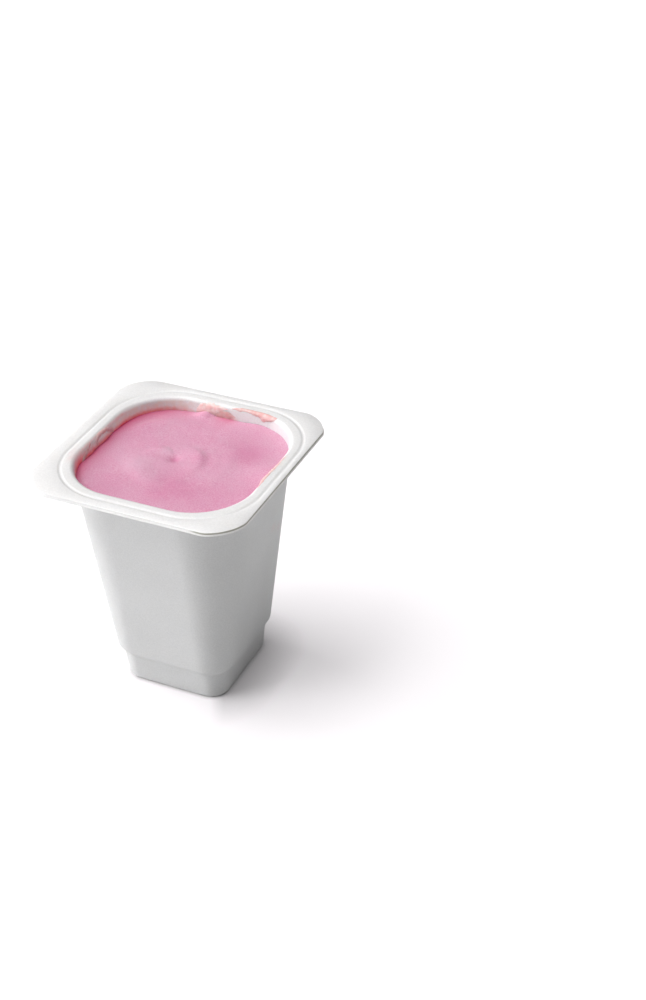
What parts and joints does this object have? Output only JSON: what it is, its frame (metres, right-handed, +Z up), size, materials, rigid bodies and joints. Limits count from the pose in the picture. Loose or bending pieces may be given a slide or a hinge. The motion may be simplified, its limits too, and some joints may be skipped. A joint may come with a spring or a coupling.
{
  "type": "yogurt pot",
  "caption": "Open square plastic pot with a wide flat flange and tapered walls, filled nearly to the rim with pink swirled yogurt.",
  "frame": {"origin": "under the middle of the flange, on the plane that the base rests on", "axes": "+Z up, from the base to the flange; +X and +Y along the flange's straight sides; the picture's camera stands on the +X, -Y side"},
  "size_m": [0.062, 0.062, 0.0683],
  "materials": {
    "pot": "satin white",
    "yogurt": "moist, soft sheen"
  },
  "bodies": {
    "root": {"pot": "pot", "yogurt": "yogurt"}
  },
  "joints": []
}
